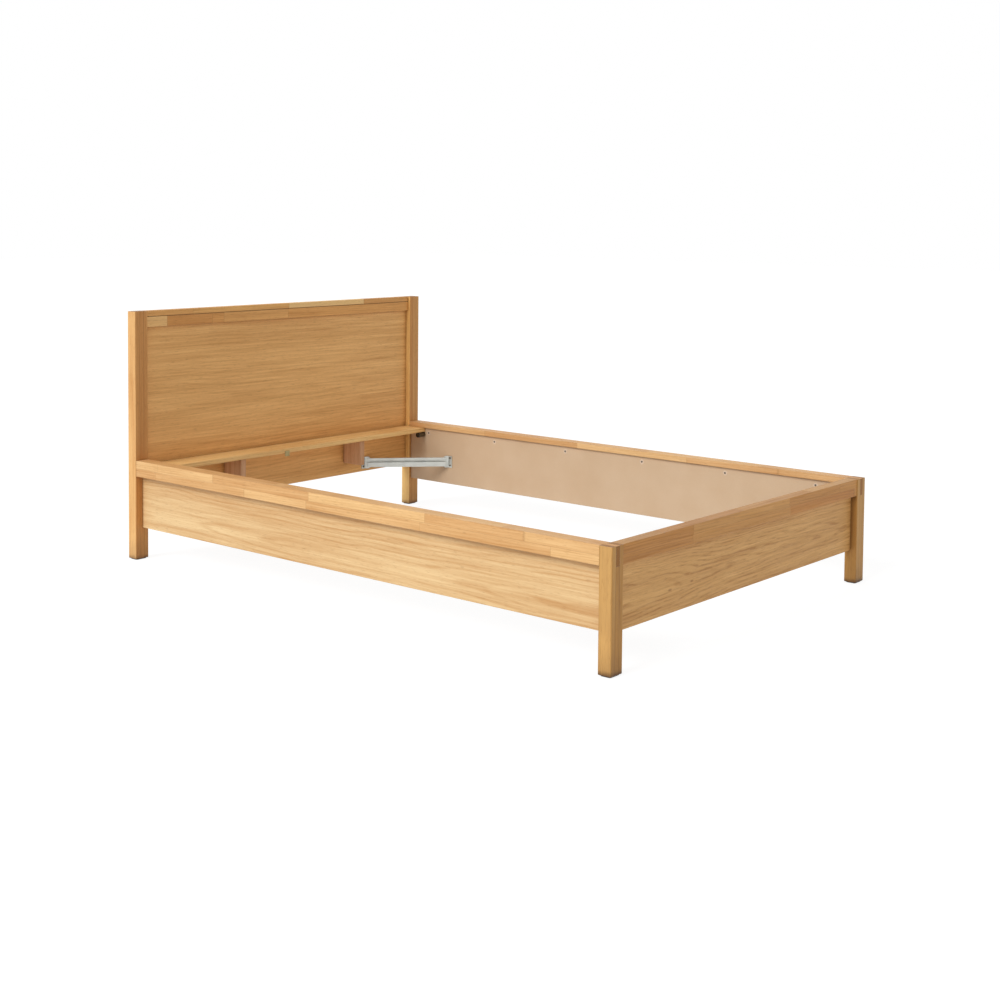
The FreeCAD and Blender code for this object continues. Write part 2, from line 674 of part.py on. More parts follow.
def make_shelf():
    """The shelf across the head end, notched round the head posts."""
    body = new_body("head_shelf")
    side = WELL_SIDE - GAP
    notch_x = POST_INNER_X - GAP
    notch_y = POST_INNER_Y - SHELF_FRONT - GAP
    back = S["shelf_depth"] - GAP
    outline = new_sketch(body, "head_shelf_outline", "XY_Plane")
    draw_outline(outline, [(-side, 0), (side, 0), (side, notch_y), (notch_x, notch_y), (notch_x, back),
                           (-notch_x, back), (-notch_x, notch_y), (-side, notch_y)])
    pad(body, outline, S["shelf_thickness"])
    soften(body, "Fillet", "Radius", S["shelf_round"], lambda way, at: runs(way.x) and near(at.y, 0))
    place(body, 0, SHELF_FRONT, SHELF_UNDER)
    node(body, "head_shelf")


def make_bracket(name, middle):
    """A block that stands out from the headboard panel under the shelf."""
    body = new_body(name)
    half = S["bracket_thickness"] / 2
    section = new_sketch(body, name + "_section", "XZ_Plane", GAP)
    draw_rectangle(section, -half, 0, half, S["bracket_height"])
    pad(body, section, S["bracket_depth"])
    soften(body, "Chamfer", "Size", S["bracket_chamfer"], lambda way, at: near(at.z, 0) and runs(way.y))
    levels = [(0, level - BRACKET_BOTTOM) for level in BRACKET_LEVELS]
    drill(body, name + "_screws", "XZ_Plane", levels, SCREW_HOLE,
          S["bracket_screw_length"] - S["panel_thickness"] + S["hole_gap"], along_normal=True)
    place(body, middle, WELL_HEAD, BRACKET_BOTTOM)
    node(body, name)


def make_clip():
    """A small folded clip that holds the shelf's lower front edge."""
    body = new_body("shelf_clip")
    half = S["clip_width"] / 2
    sheet = S["clip_thickness"]
    front = -(GAP + sheet)
    section = new_sketch(body, "shelf_clip_section", "YZ_Plane", -half)
    draw_outline(section, [(front, -S["clip_drop"]), (-GAP, -S["clip_drop"]), (-GAP, -(GAP + sheet)),
                           (S["clip_leg"], -(GAP + sheet)), (S["clip_leg"], -GAP), (-GAP, -GAP),
                           (-GAP, S["clip_rise"]), (front, S["clip_rise"])])
    pad(body, section, S["clip_width"])
    place(body, -S["clip_place"], SHELF_FRONT, SHELF_UNDER)
    node(body, "shelf_clip")


def revolved(name, outline):
    """A turned piece, from half of its section to the right of its upright axis."""
    body = new_body(name)
    profile = new_sketch(body, name + "_profile", "XZ_Plane")
    draw_outline(profile, outline)
    turn = body.newObject("PartDesign::Revolution", name + "_turn")
    turn.Profile = profile
    turn.ReferenceAxis = (profile, ["V_Axis"])
    turn.Angle = FULL_TURN
    profile.Visibility = False
    return body


def make_support():
    """A round fitting on the side panel that the shelf's end rests on, recessed for its screw."""
    radius = S["support_diameter"] / 2
    recess = S["support_recess_diameter"] / 2
    top = S["support_length"]
    floor = top - S["support_recess_depth"]
    rim = S["support_chamfer"]
    body = revolved("shelf_support", [(0, 0), (radius, 0), (radius, top - rim), (radius - rim, top),
                                      (recess, top), (recess, floor), (0, floor)])
    drill(body, "shelf_support_bore", "XY_Plane", [(0, 0)], SCREW_HOLE, along_normal=True)
    place(body, WELL_SIDE, SUPPORT_Y, SUPPORT_LEVEL, TO_LEFT)
    left_and_right(body, "shelf_support")


def screw(name, length, head):
    """A plain screw whose head's face is at z = 0 and whose end is below."""
    body = new_body(name)
    height = S["screw_head_height"]
    for part, width, top, depth in (("head", head, 0, height),
                                    ("shank", S["screw_diameter"], height, length - height)):
        section = new_sketch(body, "%s_%s" % (name, part), "XY_Plane", -(depth + top))
        draw_outline(section, ring(0, 0, width, SMALL_SIDES))
        pad(body, section, depth)
    return body


def row_of(body, name, axis, span, count):
    """Repeat the body's piece evenly over a span along one of its own axes."""
    DOC.recompute()
    pattern = body.newObject("PartDesign::LinearPattern", name + "_row")
    pattern.Originals = [part for part in body.Group if part.TypeId == "PartDesign::Pad"]
    pattern.Direction = (origin_part(body, axis), [""])
    bind(pattern, "Length", span)
    pattern.Occurrences = count
    body.Tip = pattern
    return body


def make_screws():
    """The screws of the side, foot and headboard panels, the brackets and the supports."""
    head = S["screw_head_diameter"]
    side = screw("side_panel_screws", S["panel_screw_length"], head)
    row_of(side, "side_panel_screws", "Y_Axis", SIDE_PITCH * (SIDE_SCREWS - 1), SIDE_SCREWS)
    place(side, WELL_SIDE, SIDE_SCREW_START, SCREW_LEVEL, TO_LEFT)
    left_and_right(side, "side_panel_screws")

    foot = screw("foot_panel_screws", S["panel_screw_length"], head)
    span = END_PITCH * (END_SCREWS - 1)
    row_of(foot, "foot_panel_screws", "X_Axis", span, END_SCREWS)
    place(foot, -(span / 2), -WELL_FOOT, SCREW_LEVEL, TO_HEAD)
    node(foot, "foot_panel_screws")

    back = HALF_LENGTH - S["head_panel_setback"]
    board = screw("headboard_screws", S["head_screw_length"], head)
    row_of(board, "headboard_screws", "X_Axis", span, END_SCREWS)
    place(board, -(span / 2), back, HEAD_SCREW_LEVEL, TO_HEAD)
    node(board, "headboard_screws")

    members = []
    for middle in BRACKET_PLACES:
        for level in BRACKET_LEVELS:
            one = screw("bracket_screw_%d" % len(members), S["bracket_screw_length"], head)
            place(one, middle, back, level, TO_HEAD)
            members.append(one)
    node(group("bracket_screws", members), "bracket_screws")

    reach = S["support_length"] - S["support_recess_depth"]
    held = screw("support_screw", reach + S["support_screw_bite"] + S["screw_head_height"],
                 S["support_screw_head"])
    place(held, WELL_SIDE - reach - S["screw_head_height"], SUPPORT_Y, SUPPORT_LEVEL, TO_LEFT)
    node(both_sides(held, "support_screws"), "support_screws")


def make_brace():
    """The corner brace: a folded channel with lips, flared ends and a tab on each panel.

    It is drawn from the corner of the two panels. A line at distance s in front of the bar's back meets
    level v at u = (a b + s l - a v) / b, where a and b are its reaches and l its length.
    """
    a = S["brace_across"]
    b = S["brace_along"]
    sheet = S["brace_sheet"]
    length = root(a * a + b * b)

    def on_bar(s, v=None, u=None):
        if v is not None:
            return (-((a * b + s * length - a * v) / b), -v)
        return (-u, -((a * b + s * length - b * u) / a))

    body = new_body("corner_brace")
    strip = new_sketch(body, "corner_brace_strip", "XY_Plane")
    draw_outline(strip, [(-a, 0), (-(a + S["brace_tab"]), 0), (-(a + S["brace_tab"]), -sheet),
                         on_bar(sheet, v=sheet), on_bar(sheet, u=sheet), (-sheet, -(b + S["brace_tab"])),
                         (0, -(b + S["brace_tab"])), (0, -b)])
    pad(body, strip, S["brace_tab_height"], middle=True)
    soften(body, "Fillet", "Radius", S["brace_bend"], lambda way, at: runs(way.z) and (
        (near(at.x, -a) and near(at.y, 0)) or (near(at.x, 0) and near(at.y, -b))))

    half_tab = S["brace_tab_height"] / 2
    half_bar = S["brace_bar_height"] / 2
    start = S["brace_shoulder"]
    waist = new_sketch(body, "corner_brace_waist", "XZ_Plane")
    for sign in (1, -1):
        draw_outline(waist, [(-start, half_tab * sign), (-(start + S["brace_flare"]), half_bar * sign),
                             (-(a - start - S["brace_flare"]), half_bar * sign),
                             (-(a - start), half_tab * sign)])
    cut = pocket(body, waist)
    cut.Midplane = True

    wide = sheet + S["brace_flange"]
    near_wall = S["brace_flare"] + start
    for name, back, level, height in (
            ("upper_flange", sheet, half_bar - sheet, sheet),
            ("upper_lip", wide - sheet, half_bar - S["brace_upper_lip"], S["brace_upper_lip"]),
            ("lower_flange", sheet, -half_bar, sheet),
            ("lower_lip", wide - sheet, -half_bar, S["brace_lower_lip"])):
        fold = new_sketch(body, "corner_brace_" + name, "XY_Plane", level)
        draw_outline(fold, [on_bar(back, v=near_wall), on_bar(wide, v=near_wall),
                            on_bar(wide, u=near_wall), on_bar(back, u=near_wall)])
        pad(body, fold, height)

    rise = S["brace_hole_pitch"] / 2
    levels = (-rise, rise)
    drill(body, "corner_brace_head_holes", "XZ_Plane", [(-(a + TAB_HOLE), level) for level in levels],
          S["brace_hole"], sheet, along_normal=True)
    drill(body, "corner_brace_side_holes", "YZ_Plane", [(-(b + TAB_HOLE), level) for level in levels],
          S["brace_hole"], sheet)
    place(body, WELL_SIDE, WELL_HEAD, BRACE_LEVEL)
    node(body, "corner_brace_head_right")
    node(mirror_image(body, "corner_brace_head", ACROSS), "corner_brace_head_left")
    foot = mirror_image(body, "corner_brace_foot", ALONG, WELL_MIDDLE)
    node(foot, "corner_brace_foot_right")
    node(mirror_image(foot, "corner_brace_foot_left", ACROSS), "corner_brace_foot_left")


def make_brace_screws():
    """Two screws through each tab of each brace."""
    length = S["brace_screw_length"]
    head = S["screw_head_diameter"]
    seat = S["brace_sheet"] + S["screw_head_height"]
    low = BRACE_LEVEL - S["brace_hole_pitch"] / 2
    on_end = screw("brace_end_screws", length, head)
    row_of(on_end, "brace_end_screws", "Y_Axis", S["brace_hole_pitch"], TAB_SCREWS)
    place(on_end, WELL_SIDE - S["brace_across"] - TAB_HOLE, WELL_HEAD - seat, low, TO_FOOT)
    on_side = screw("brace_side_screws", length, head)
    row_of(on_side, "brace_side_screws", "X_Axis", S["brace_hole_pitch"], TAB_SCREWS)
    place(on_side, WELL_SIDE - seat, WELL_HEAD - S["brace_along"] - TAB_HOLE, low, TO_LEFT)
    corner = group("brace_corner_screws", [on_end, on_side])
    ends = group("brace_right_screws", [corner, mirror_image(corner, "brace_foot", ALONG, WELL_MIDDLE)])
    node(both_sides(ends, "brace_screws"), "brace_screws")


def dowel(name, x, y, z, rotation):
    """A dowel whose middle is at the joint between two pieces."""
    rod = DOC.addObject("Part::Prism", name)
    rod.Polygon = SMALL_SIDES
    bind(rod, "Circumradius", S["dowel_diameter"] / 2)
    bind(rod, "Height", S["dowel_length"])
    place(rod, x, y, z, rotation)
    return rod


def make_dowels():
    """The dowels that hold rails and panels to the posts."""
    half = S["dowel_length"] / 2
    side = HALF_WIDTH - SIDE_PANEL_MIDDLE
    members = [dowel("side_dowel_%d" % index, side, POST_INNER_Y + half, level, TO_FOOT)
               for index, level in enumerate(SIDE_DOWEL_LEVELS)]
    corner = group("side_dowels_corner", members)
    node(both_sides(both_ends(corner, "side_dowels_ends"), "side_panel_dowels"), "side_panel_dowels")

    spots = [(FOOT_PANEL_MIDDLE, level) for level in FOOT_DOWEL_LEVELS] + [(FOOT_LIP_MIDDLE, LIP_LEVEL)]
    members = [dowel("foot_dowel_%d" % index, POST_INNER_X - half, at - HALF_LENGTH, level, TO_RIGHT)
               for index, (at, level) in enumerate(spots)]
    node(both_sides(group("foot_dowels_right", members), "foot_dowels"), "foot_dowels")

    spots = [(HEAD_PANEL_MIDDLE, level) for level in HEAD_DOWEL_LEVELS]
    spots.append((HEAD_RAIL_MIDDLE, HEAD_SCREW_LEVEL))
    members = [dowel("head_dowel_%d" % index, POST_INNER_X - half, HALF_LENGTH - at, level, TO_RIGHT)
               for index, (at, level) in enumerate(spots)]
    node(both_sides(group("headboard_dowels_right", members), "headboard_dowels"), "headboard_dowels")


def make_bolts():
    """The bed bolts through the head posts, and the barrel nuts in the side rails."""
    height = S["bolt_head_height"]
    bolt = new_body("bed_bolt")
    shank = new_sketch(bolt, "bed_bolt_shank", "XY_Plane", -S["bolt_length"])
    draw_outline(shank, ring(0, 0, S["bolt_diameter"], SMALL_SIDES))
    pad(bolt, shank, S["bolt_length"])
    head = new_sketch(bolt, "bed_bolt_head", "XY_Plane")
    draw_circle(head, 0, 0, S["bolt_head_diameter"])
    pad(bolt, head, height)
    socket = new_sketch(bolt, "bed_bolt_socket", "XY_Plane", height)
    across_corners = S["bolt_socket"] / math.cos(math.pi / SOCKET_SIDES)
    draw_outline(socket, ring(0, 0, across_corners, SOCKET_SIDES))
    pocket(bolt, socket, S["bolt_socket_depth"])
    place(bolt, HALF_WIDTH - BOLT_INSET, HALF_LENGTH - S["bolt_recess_depth"], LIP_LEVEL,
          TO_HEAD)
    node(both_sides(bolt, "bed_bolts"), "bed_bolts")

    nut = new_body("barrel_nut")
    section = new_sketch(nut, "barrel_nut_section", "XY_Plane")
    draw_outline(section, ring(0, 0, S["nut_diameter"], SMALL_SIDES))
    pad(nut, section, S["nut_length"], middle=True)
    cut = drill(nut, "barrel_nut_bore", "XZ_Plane", [(0, 0)], BOLT_HOLE)
    cut.Midplane = True
    place(nut, HALF_WIDTH - BOLT_INSET, POST_INNER_Y - S["nut_place"], LIP_LEVEL)
    node(both_sides(nut, "barrel_nuts"), "barrel_nuts")


def check_model():
    """Stop if any feature failed, cut nothing or left a piece without a sound shape."""
    for thing in DOC.Objects:
        if "Invalid" in thing.State or "Error" in thing.State:
            raise RuntimeError("%s failed: %s" % (thing.Label, thing.State))
        if thing.TypeId == "PartDesign::Pocket":
            if thing.Shape.Volume >= thing.BaseFeature.Shape.Volume - SAME_VOLUME:
                raise RuntimeError("%s cuts nothing" % thing.Label)
    for thing in NODES:
        if thing.Shape.isNull() or not thing.Shape.isValid():
            raise RuntimeError("%s has no sound shape" % thing.Label)


def write_parts():
    os.makedirs("parts", exist_ok=True)
    for thing in NODES:
        thing.Shape.exportStep("parts/%s.step" % thing.Label)


make_foot_post()
make_head_post()
make_glide("glide_foot", -HALF_LENGTH)
make_glide("glide_head", POST_INNER_Y)
make_side_rail()
make_side_panel()
make_foot_rail()
make_foot_panel()
make_headboard()
make_shelf()
make_bracket("shelf_bracket_left", BRACKET_PLACES[0])
make_bracket("shelf_bracket_right", BRACKET_PLACES[1])
make_support()
make_clip()
make_brace()
make_screws()
make_brace_screws()
make_dowels()
make_bolts()
DOC.recompute()
check_model()
write_parts()
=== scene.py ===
"""Panel bed: oak, veneer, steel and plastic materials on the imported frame, with light, floor and camera."""
import bpy
import json
import math
from mathutils import Matrix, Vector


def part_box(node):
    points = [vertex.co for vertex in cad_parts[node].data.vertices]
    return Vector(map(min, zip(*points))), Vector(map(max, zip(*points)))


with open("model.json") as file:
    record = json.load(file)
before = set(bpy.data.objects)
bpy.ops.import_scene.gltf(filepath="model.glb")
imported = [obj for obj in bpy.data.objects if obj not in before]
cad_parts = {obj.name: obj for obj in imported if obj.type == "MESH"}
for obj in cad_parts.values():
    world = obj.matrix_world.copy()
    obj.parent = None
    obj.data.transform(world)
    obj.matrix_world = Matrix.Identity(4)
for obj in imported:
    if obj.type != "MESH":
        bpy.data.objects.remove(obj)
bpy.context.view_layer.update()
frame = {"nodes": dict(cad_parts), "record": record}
NODES = frame["nodes"]


def srgb(red, green, blue):
    """A display colour, 0 to 255, as the linear colour that the shaders take."""
    def linear(value):
        value /= 255
        return value / 12.92 if value <= 0.04045 else ((value + 0.055) / 1.055) ** 2.4
    return (linear(red), linear(green), linear(blue), 1.0)


def grey(level):
    """A linear grey."""
    return (level, level, level, 1.0)


# Places read from the frame, in metres.
PLIES = 3
POST_LOW, POST_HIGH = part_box("foot_post_right")
POST_INNER_X = POST_LOW.x
PLY = (POST_HIGH.x - POST_LOW.x) / PLIES
STAVE_ROWS = 2
RAIL_LOW, RAIL_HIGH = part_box("side_rail_right")
STAVE_HEIGHT = (RAIL_HIGH.z - RAIL_LOW.z) / STAVE_ROWS
SCREW_SPACES = 5
SCREWS_LOW, SCREWS_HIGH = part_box("side_panel_screws_right")
SCREW_HEAD = SCREWS_HIGH.z - SCREWS_LOW.z
SCREW_LEVEL = (SCREWS_LOW.z + SCREWS_HIGH.z) / 2
SCREW_START = SCREWS_LOW.y + SCREW_HEAD / 2
SCREW_PITCH = (SCREWS_HIGH.y - SCREWS_LOW.y - SCREW_HEAD) / SCREW_SPACES

# Tones that several woods share.
PALE_STAVE = srgb(255, 218, 152)
DEEP_STAVE = srgb(190, 124, 62)
PORE = srgb(146, 90, 38)
GLUE_LINE = srgb(126, 78, 36)
END_GRAIN_DARK = srgb(140, 88, 30)
END_GRAIN_PALE = srgb(172, 116, 46)
WORN_EDGE = srgb(255, 228, 184)
FOOT_DARK = srgb(88, 54, 22)
BEIGE = srgb(212, 186, 156)
BEIGE_FLECK = srgb(202, 174, 143)
BEIGE_MOTTLE = srgb(196, 165, 131)
BEIGE_CHIP = srgb(226, 208, 192)
RAW_PALE = srgb(226, 182, 142)
RAW_DEEP = srgb(186, 132, 94)
RAW_PORE = srgb(150, 96, 64)
RAW_EDGE = srgb(240, 204, 170)

# Which place coordinate runs along an axis, and which two run across it.
AXES = {"X": (0, 2, 1), "Y": (1, 2, 0), "Z": (2, 0, 1)}

# Noise in the oak's figure: cycles per metre along the grain, across it and through the board, then the
# noise's detail and roughness.
SLOW_DRIFT = ((1.1, 6.0, 1.0), 2.0, 0.5)
QUICK_DRIFT = ((7.0, 30.0, 1.0), 1.0, 0.5)
LINE_BREAKS = ((17.0, 95.0, 1.0), 2.0, 0.6)
LINE_FADES = ((2.2, 15.0, 1.0), 2.0, 0.5)
FIBRES = ((6.0, 240.0, 240.0), 3.0, 0.65)
STREAKS = ((2.0, 62.0, 62.0), 2.0, 0.6)
CLOUDS = ((0.9, 7.0, 7.0), 2.0, 0.55)
PORES = ((36.0, 620.0, 620.0), 1.0, 0.5)

# The growth lines: the share of the quick drift, the rounding of their turn at the heart in square metres,
# and which values of the noise break them, fade them and make pores.
QUICK_SHARE = 0.12
HEART_ROUNDING = 0.0006
BREAK_RANGE = (0.4, 0.65)
FADE_RANGE = (0.32, 0.6)
FADED = 0.3
PORE_RANGE = (0.6, 0.74)

# How deep each layer of noise makes the wood, from its palest place to its deepest.
FIBRE_DEPTH = (0.0, 0.4)
STREAK_DEPTH = (-0.1, 0.35)
CLOUD_DEPTH = (-0.12, 0.22)

# Glue lines in metres: how far from its middle a line starts to show, and where it is full. A ply's line is
# given in shares of the ply from the ply's own middle, and there is none this near a post's own faces.
END_JOINT = (0.0022, 0.0004)
ROW_SEAM = (0.0016, 0.0003)
CUT_JOINT = (0.0022, 0.0006)
PLY_LINE = (0.43, 0.49)
PLY_MARGIN = 0.3

# Staves: the most that a row is shifted, in staves, and how uneven their lengths are.
ROW_SHIFT = 9.0
UNEVEN_TURN = 4.4
UNEVEN_SHARE = 0.16

# The most that the figure moves along and across the grain from one stave or ply to another, in metres.
OWN_FIGURE = (5.0, 0.31)

# These only tell one random draw from another.
ROW_DRAW = 1.7
SIDE_DRAW = 3.1
END_DRAW = 5.3

# From which to which share of its normal a face counts as turned one way.
END_FACE = (0.6, 0.8)
PLAIN_FACE = (0.5, 0.8)
INNER_FACE = (0.4, 0.7)
BACKING_FACE = (0.5, 0.7)
CAP_FACE = (0.4, 0.6)

# Darkening towards the floor on the feet: the height where it starts, the height where it is full, and how
# strong it is there.
FOOT_HIGH_FADE = (0.11, 0.0, 0.3)
FOOT_LOW_FADE = (0.028, 0.008, 0.75)
FOOT_RAGGED_EDGE = 0.014

# Small knots: length for height, where they start and are full in shares of their size, and how strong.
KNOT_STRETCH = 2.6
KNOT_RIM = (1.0, 0.2)
KNOT_SHARE = 0.62

# The pale ring round a screw in a panel's back: radii in metres, how ragged it is, and how strong.
CHIP_RING = (0.011, 0.006)
CHIP_RAGGED = 0.01
CHIP_SHARE = 0.55

# The shade painted into corners: which values of occlusion it covers, and what is left of red, green and blue
# in it.
SHADE_RANGE = (0.35, 0.85)
WARM_SHADE = (1.0, 0.88, 0.7)

# Where most of a noise's values lie, and how far a rounded normal has turned at an edge.
NOISE_RANGE = (0.3, 0.7)
EDGE_RANGE = (0.01, 0.16)

# How far each tone covers the oak, and the radius of its edges in metres.
PORE_SHARE = 0.35
EDGE_SHARE = 0.22
MOTTLE_SHARE = 0.5
OAK_EDGE = 0.0022

# The sockets of a Mix node that carry colours.
COLOUR_A, COLOUR_B, COLOUR_OUT = 6, 7, 2


class Graph:
    """Short calls for building the node tree of a material or of the world."""

    def __init__(self, owner, output="ShaderNodeOutputMaterial"):
        owner.use_nodes = True
        self.owner = owner
        self.tree = owner.node_tree
        self.tree.nodes.clear()
        self.output = self.add(output)

    def add(self, kind, inputs=None, **settings):
        """A node with the settings given, and numbers, colours or links for its inputs."""
        made = self.tree.nodes.new(kind)
        for key, value in settings.items():
            setattr(made, key, value)
        for key, value in (inputs or {}).items():
            self.feed(made.inputs[key], value)
        return made

    def feed(self, socket, value):
        if isinstance(value, bpy.types.NodeSocket):
            self.tree.links.new(value, socket)
        else:
            socket.default_value = value

    def math(self, operation, *values):
        return self.add("ShaderNodeMath", dict(enumerate(values)), operation=operation).outputs[0]

    def plus(self, a, b):
        return self.math("ADD", a, b)

    def minus(self, a, b):
        return self.math("SUBTRACT", a, b)

    def times(self, a, b):
        return self.math("MULTIPLY", a, b)

    def over(self, a, b):
        return self.math("DIVIDE", a, b)

    def absolute(self, value):
        return self.math("ABSOLUTE", value)

    def radius(self, a, b):
        return self.math("SQRT", self.plus(self.times(a, a), self.times(b, b)))

    def from_middle(self, run):
        """How far a run is from the middle of the whole step it is in, 0 to 0.5."""
        return self.absolute(self.minus(self.math("FRACT", run), 0.5))

    def vector(self, x, y, z):
        return self.add("ShaderNodeCombineXYZ", {0: x, 1: y, 2: z}).outputs[0]

    def split(self, vector):
        return self.add("ShaderNodeSeparateXYZ", {0: vector}).outputs

    def mix(self, factor, a, b, blend="MIX"):
        inputs = {"Factor": factor, COLOUR_A: a, COLOUR_B: b}
        return self.add("ShaderNodeMix", inputs, data_type="RGBA", blend_type=blend).outputs[COLOUR_OUT]

    def overlay(self, colour, tone, mask, share):
        """Lay a tone over a colour where the mask is, by at most the share given."""
        return self.mix(self.times(mask, share), colour, tone)

    def tint(self, colour, tint, mask):
        """Multiply a colour where the mask is."""
        return self.mix(mask, colour, self.mix(1.0, colour, (*tint, 1.0), "MULTIPLY"))

    def noise(self, place, scales, detail=2.0, rough=0.5):
        """Noise of so many cycles per metre each way."""
        inputs = {"Vector": self.vector(*map(self.times, place, scales)), "Scale": 1.0, "Detail": detail,
                  "Roughness": rough}
        return self.add("ShaderNodeTexNoise", inputs, noise_dimensions="3D").outputs["Fac"]

    def even_noise(self, place, scale, detail=2.0, rough=0.5):
        """Noise at one scale in all directions."""
        return self.noise(place, (scale, scale, scale), detail, rough)

    def random(self, x, y, z):
        inputs = {"Vector": self.vector(x, y, z)}
        return self.add("ShaderNodeTexWhiteNoise", inputs, noise_dimensions="3D").outputs["Value"]

    def span(self, value, low, high, start=0.0, end=1.0, interpolation="LINEAR"):
        """start at low and end at high, and no further."""
        inputs = dict(enumerate((value, low, high, start, end)))
        return self.add("ShaderNodeMapRange", inputs, interpolation_type=interpolation).outputs[0]

    def spread(self, noise, start=0.0, end=1.0):
        """The middle of a noise's range, where most of it lies, taken from start to end."""
        return self.span(noise, *NOISE_RANGE, start, end)

    def step(self, value, low, high):
        """0 at low and 1 at high, smooth between. low may be the greater one."""
        return self.span(value, low, high, interpolation="SMOOTHSTEP")

    def bump(self, height, strength, distance, normal):
        inputs = {"Strength": strength, "Distance": distance, "Height": height, "Normal": normal}
        return self.add("ShaderNodeBump", inputs).outputs[0]

    def place(self):
        """Position on the object in metres, and the surface's own normal."""
        coordinates = self.add("ShaderNodeTexCoord")
        geometry = self.add("ShaderNodeNewGeometry")
        return self.split(coordinates.outputs["Object"]), self.split(geometry.outputs["True Normal"])

    def soft_edge(self, radius):
        """A normal rounded over at the edges, and how near an edge the surface is."""
        bevel = self.add("ShaderNodeBevel", {"Radius": radius}, samples=4)
        geometry = self.add("ShaderNodeNewGeometry")
        dot = self.add("ShaderNodeVectorMath", {0: bevel.outputs[0], 1: geometry.outputs["True Normal"]},
                       operation="DOT_PRODUCT")
        return bevel.outputs[0], self.step(self.minus(1.0, dot.outputs["Value"]), *EDGE_RANGE)

    def paint_corner_shade(self, colour, distance, darkest):
        """Painted shade: darken where surfaces meet, to a warmer tone."""
        near = self.add("ShaderNodeAmbientOcclusion", {"Distance": distance}, samples=6)
        mask = self.span(near.outputs["AO"], *SHADE_RANGE, 1.0, 0.0)
        return self.tint(colour, [darkest * share for share in WARM_SHADE], mask)

    def finish(self, colour, roughness, normal, metallic=0.0, specular=0.5):
        shader = self.add("ShaderNodeBsdfPrincipled", {
            "Base Color": colour, "Roughness": roughness, "Normal": normal, "Metallic": metallic,
            "Specular IOR Level": specular})
        self.feed(self.output.inputs[0], shader.outputs[0])
        return self.owner


def material_graph(name):
    return Graph(bpy.data.materials.new(name))


class Grain:
    """Oak figure along one direction: growth lines broken into dashes, fine fibres, pores and slow clouds."""

    def __init__(self, graph, along, across, third, seed, bend, period, heart, slope, dashes):
        place = (along, across, graph.plus(third, seed))
        slow = graph.minus(graph.noise(place, *SLOW_DRIFT), 0.5)
        quick = graph.noise(place, *QUICK_DRIFT)
        drift = graph.plus(graph.times(slow, bend), graph.times(quick, bend * QUICK_SHARE))
        away = graph.minus(across, heart)
        folded = graph.math("SQRT", graph.plus(graph.times(away, away), HEART_ROUNDING))
        level = graph.plus(graph.plus(folded, graph.times(along, slope)), drift)
        lines = graph.step(graph.math("SINE", graph.times(level, 2 * math.pi / period)), 0.0, 1.0)
        broken = graph.span(graph.noise(place, *LINE_BREAKS), *BREAK_RANGE, 1.0 - dashes, 1.0)
        faded = graph.span(graph.noise(place, *LINE_FADES), *FADE_RANGE, FADED, 1.0)
        self.lines = graph.times(graph.times(lines, broken), faded)
        self.fibre = graph.noise(place, *FIBRES)
        self.streak = graph.noise(place, *STREAKS)
        self.cloud = graph.noise(place, *CLOUDS)
        self.pores = graph.step(graph.noise(place, *PORES), *PORE_RANGE)

    def depth(self, graph, line_share):
        """How far towards the deep tone, where 1 is all the way."""
        value = graph.plus(graph.spread(self.fibre, *FIBRE_DEPTH), graph.spread(self.streak, *STREAK_DEPTH))
        value = graph.plus(value, graph.spread(self.cloud, *CLOUD_DEPTH))
        return graph.plus(value, graph.times(self.lines, line_share))


def seam(graph, run, length, line):
    """The glue line at each whole number of a run, whose steps have this length."""
    outer, inner = line
    return graph.step(graph.from_middle(run), 0.5 - outer / length, 0.5 - inner / length)


def staves(graph, place, along, length, height, start, seed):
    """Short pieces glued end to end in rows: each one's own number, and the glue lines between them."""
    rows = graph.over(graph.minus(place[2], start), height)
    row = graph.math("FLOOR", rows)
    shift = graph.times(graph.random(row, seed + ROW_DRAW, 0.0), ROW_SHIFT)
    run = graph.plus(graph.over(along, length), shift)
    run = graph.plus(run, graph.times(graph.math("SINE", graph.times(run, UNEVEN_TURN)), UNEVEN_SHARE))
    own = graph.random(graph.math("FLOOR", run), graph.plus(row, 0.5), seed)
    ends = seam(graph, run, length, END_JOINT)
    return own, graph.math("MAXIMUM", ends, seam(graph, rows, height, ROW_SEAM))


def cut_staves(graph, place, first, cuts):
    """Staves along X that change at given places: each one's tone, 0 deep to 1 pale, and the glue lines."""
    own, joint = first, 0.0
    last = first
    for x, tone in cuts:
        own = graph.plus(own, graph.times(graph.math("GREATER_THAN", place[0], x), tone - last))
        near = graph.absolute(graph.minus(place[0], x))
        joint = graph.math("MAXIMUM", joint, graph.step(near, *CUT_JOINT))
        last = tone
    return own, joint


def plies(graph, place, seed):
    """The three layers of a post across the bed: each one's own number, and the glue lines between them."""
    depth = graph.over(graph.minus(graph.absolute(place[0]), POST_INNER_X), PLY)
    side = graph.times(graph.math("SIGN", place[0]), SIDE_DRAW)
    end = graph.times(graph.math("SIGN", place[1]), END_DRAW)
    own = graph.random(graph.math("FLOOR", depth), side, graph.plus(end, seed))
    inside = graph.times(graph.math("GREATER_THAN", depth, PLY_MARGIN),
                         graph.math("LESS_THAN", depth, PLIES - PLY_MARGIN))
    return own, graph.times(graph.step(graph.from_middle(depth), *PLY_LINE), inside)


def add_knots(graph, colour, place, knots):
    """Small dark knots in a panel that faces along Y, each given as x, z and size."""
    for x, z, size in knots:
        ring = graph.radius(graph.over(graph.minus(place[0], x), size * KNOT_STRETCH),
                            graph.over(graph.minus(place[2], z), size))
        colour = graph.overlay(colour, PORE, graph.step(ring, *KNOT_RIM), KNOT_SHARE)
    return colour


